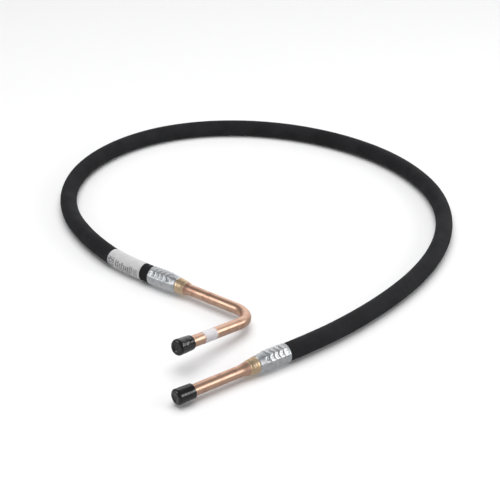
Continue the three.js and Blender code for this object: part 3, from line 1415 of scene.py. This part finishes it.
@dataclass
class Cap:
    """A dipped vinyl cap: rounded shoulder, ringed end face with a drip nib, faint crinkles."""

    name: str
    node: str
    body: Body
    tube: CopperTube
    crinkle: float
    length: float = 25.5
    end_wall: float = 2.5
    radius: float = 10.6
    lip_radius: float = 9.78
    bore: float = 7.62
    shoulder: float = 3.6
    to_tube_end: float = 0.3
    skin: float = 0.1
    face_drop: float = 1.0
    dish: tuple[float, float] = (3.4, 6.0)
    ring: tuple[float, float, float] = (3.1, 0.6, 0.16)
    nib: tuple[float, float] = (1.2, 1.02)
    face_steps: int = 48
    arc_steps: int = 12
    ring_every: float = 0.4
    sides: int = 160

    def relief(self, x: float, angle: float) -> float:
        """Finds how far a crinkle of the vinyl sinks.

        Args:
            x: Millimetres from the lip.
            angle: Radians around.

        Returns:
            What to add to the radius, in millimetres.
        """
        point = Vector((x * 0.17, math.cos(angle) * 1.6, math.sin(angle) * 1.6))
        low = noise.noise(point + Vector((len(self.name), 0, 0)))
        fold = 1 - 2 * abs(noise.noise(point * 1.7 + Vector((4.1, 2.7, 0.3))))
        fade = smooth((self.length - 1.2 - x) / 4)
        return self.crinkle * min(low + 0.7 * fold - 1.2, 0) * fade

    def side(self) -> Profile:
        """Draws the outside, which widens from the lip to the shoulder.

        Returns:
            Its points.
        """
        start = 0.5
        reach = self.length - self.shoulder - self.skin
        count = round(reach / self.ring_every)
        shares = [i / count for i in range(count)]
        swell = self.radius - self.lip_radius
        return [(start + (reach - start) * share, self.lip_radius + swell * share) for share in shares]

    def arc(self) -> Profile:
        """Draws the rounded shoulder.

        Returns:
            Its points from the side to the face.
        """
        points = []
        for i in range(self.arc_steps + 1):
            angle = math.pi / 2 * i / self.arc_steps
            x = self.length - self.skin - self.shoulder * (1 - math.sin(angle))
            points.append((x, self.radius - self.shoulder * (1 - math.cos(angle))))
        return points

    def face(self) -> Profile:
        """Draws the end face: a dish with a shallow ring and a raised drop.

        Returns:
            Its points from the shoulder to the middle.
        """
        points = []
        flat = self.radius - self.shoulder
        at, wide, high = self.ring
        for i in range(1, self.face_steps):
            r = flat * (1 - i / self.face_steps)
            ring = high * math.exp(-((r - at) / wide) ** 2)
            nib = self.nib[1] * math.exp(-((r / self.nib[0]) ** 2))
            sunk = self.face_drop * (1 - smooth((r - self.dish[0]) / (self.dish[1] - self.dish[0])))
            points.append((self.length - self.skin - sunk + ring + nib, r))
        return points

    def build(self, finish: bpy.types.Material) -> bpy.types.Object:
        """Builds the cap.

        Args:
            finish: Its vinyl.

        Returns:
            The cap.
        """
        bottom = self.length - self.end_wall
        inside = [
            (bottom, 0.05), (bottom, self.bore - 1.0), (bottom - 0.6, self.bore - 0.2),
            (bottom - 1.5, self.bore), (0.55, self.bore), (0.12, self.bore + 0.3),
            (0, self.bore + 0.9), (0.05, self.lip_radius - 0.55),
        ]
        outer = self.side() + self.arc() + self.face()
        rings = turned_rings(inside, self.sides) + turned_rings(outer, self.sides, self.relief)
        lengths = [x * MM for x, _ in inside + outer]
        mesh = mesh_of_rings(self.name, rings, lengths, closed=False, sharp=60)
        start = self.tube.length + self.to_tube_end - bottom
        place = self.tube.leg() @ Matrix.Translation((start * MM, 0, 0))
        return Part(self.name, self.body, Slot.VINYL, (self.node,)).place(mesh, place, finish)


@dataclass(frozen=True)
class SoftBox:
    """A rectangular light that faces a point, in metres and watts."""

    name: str
    place: tuple[float, float, float]
    target: tuple[float, float, float]
    size: tuple[float, float]
    power: float
    in_gloss: bool = True

    def build(self) -> None:
        """Adds the light."""
        data = bpy.data.lights.new(self.name, "AREA")
        data.shape = "RECTANGLE"
        data.size, data.size_y = self.size
        data.energy = self.power
        light = bpy.data.objects.new(self.name, data)
        bpy.context.scene.collection.objects.link(light)
        light.location = self.place
        way = Vector(self.target) - Vector(self.place)
        light.rotation_euler = way.to_track_quat("-Z", "Y").to_euler()
        light.visible_glossy = self.in_gloss


SOFT_BOXES = (
    SoftBox("box_right", (1.42, -1.25, 0.80), (0.0, -0.1, 0.0), (2.0, 0.95), 12),
    SoftBox("core_right", (1.30, -1.32, 0.72), (0.0, -0.1, 0.0), (0.9, 0.22), 2.4),
    SoftBox("box_left", (-1.55, 0.82, 0.95), (0.05, 0.05, 0.0), (1.15, 1.05), 7.5),
    SoftBox("fill", (0.25, 0.2, 3.0), (0.25, 0.2, 0.0), (3.2, 3.2), 98, in_gloss=False),
)


@dataclass
class Studio:
    """Camera, lights and floor."""

    camera: tuple[float, float, float] = (-1.03515, -1.53271, 1.1148)
    heading: float = 53.18
    pitch: float = 28.17
    roll: float = 0.52
    focal_px: float = 1700
    image_px: float = 500
    sensor: float = 36
    below_left: tuple[float, float, float] = (0.44, 0.44, 0.445)
    below_right: tuple[float, float, float] = (0.36, 0.36, 0.365)
    above: tuple[float, float, float] = (0.20, 0.20, 0.205)
    glow: tuple[float, float, float] = (0.95, 0.95, 0.96)
    glow_way: tuple[float, float, float] = (0.71, 0.64, 0.28)
    right_way: tuple[float, float, float] = (0.9, -0.4, 0)
    horizon: float = 0.12
    floor_reach: float = 12.0
    floor_color: tuple[float, float, float] = (0.86, 0.86, 0.86)

    def build(self) -> None:
        """Sets up the studio."""
        self.add_camera()
        self.add_floor()
        self.add_surround()
        for box in SOFT_BOXES:
            box.build()

    def add_camera(self) -> None:
        """The camera at the photograph's place."""
        data = bpy.data.cameras.new("camera")
        data.sensor_width = self.sensor
        data.lens = self.focal_px / self.image_px * self.sensor
        data.clip_end = 50
        camera = bpy.data.objects.new("camera", data)
        bpy.context.scene.collection.objects.link(camera)
        look = Matrix.Rotation(math.radians(self.heading - 90), 4, "Z")
        look = look @ Matrix.Rotation(math.radians(90 - self.pitch), 4, "X")
        look = look @ Matrix.Rotation(math.radians(-self.roll), 4, "Z")
        camera.matrix_world = Matrix.Translation(self.camera) @ look
        bpy.context.scene.camera = camera

    def add_floor(self) -> None:
        """A plain pale floor."""
        paint = Paint("studio_floor")
        paint.set(Base_Color=self.floor_color, Roughness=0.7)
        mesh = bpy.data.meshes.new("studio_floor")
        signs = ((-1, -1), (1, -1), (1, 1), (-1, 1))
        corners = [(x * self.floor_reach, y * self.floor_reach, 0) for x, y in signs]
        mesh.from_pydata(corners, [], [(0, 1, 2, 3)])
        mesh.materials.append(paint.material)
        floor = bpy.data.objects.new("studio_floor", mesh)
        bpy.context.scene.collection.objects.link(floor)
        floor.visible_glossy = False

    def add_surround(self) -> None:
        """A dim surround with a far glow."""
        world = bpy.data.worlds.new("studio")
        world.use_nodes = True
        tree = Tree(world.node_tree)
        way = tree.node("ShaderNodeTexCoord", output="Generated")
        height = tree.parts(way)[2].steps(-self.horizon, self.horizon)
        dot = {"operation": "DOT_PRODUCT"}
        glow = tree.node("ShaderNodeVectorMath", dot, {0: way, 1: self.glow_way}, output=1)
        side = tree.node("ShaderNodeVectorMath", dot, {0: way, 1: self.right_way}, output=1)
        color = tree.mix(side.steps(-0.5, 0.5), self.below_left, self.below_right)
        color = tree.mix(height, color, self.above)
        color = tree.mix(glow.steps(0.70, 0.96), color, self.glow)
        background = world.node_tree.nodes["Background"]
        tree.feed(background.inputs["Color"], color)
        bpy.context.scene.world = world
        bpy.context.scene.view_settings.view_transform = "Standard"


def main() -> None:
    """Builds the studio, the hose and both fittings."""
    logging.basicConfig(level=logging.INFO, format="%(name)s: %(message)s")
    Studio().build()
    hose = Hose()
    hose_piece = hose.build()
    label = HoseLabel(hose).build()
    hose.declare()
    zinc = ZincPlate().paint()
    brass = TurnedBrass().paint()
    copper = DrawnCopper().paint()
    vinyl = DippedVinyl().paint()
    bend = Bend(run=84.7, radius=34.7, turn=92)
    bent = CopperTube("copper_tube_bent", "bent_tube", BENT_END, 113.7, 8, bend, rise=9)
    straight = CopperTube("copper_tube_straight", "straight_tube", STRAIGHT_END, 105.3, 13)
    for fitting, tube, jaw_angle in ((BENT_END, bent, 138), (STRAIGHT_END, straight, 43)):
        Ferrule(fitting, jaw_angle=jaw_angle).build(zinc)
        Stem(fitting).build(brass)
        tube.build(copper)
        BrazeBead(tube).build(brass)
    TubeLabel(bent).build()
    Cap("vinyl_cap_bent_tube", "cap_bent_tube", Body.BENT_CAP, bent, 0.22).build(vinyl)
    Cap("vinyl_cap_straight_tube", "cap_straight_tube", Body.STRAIGHT_CAP, straight, 0.06).build(vinyl)


if __name__ == "__main__":
    main()
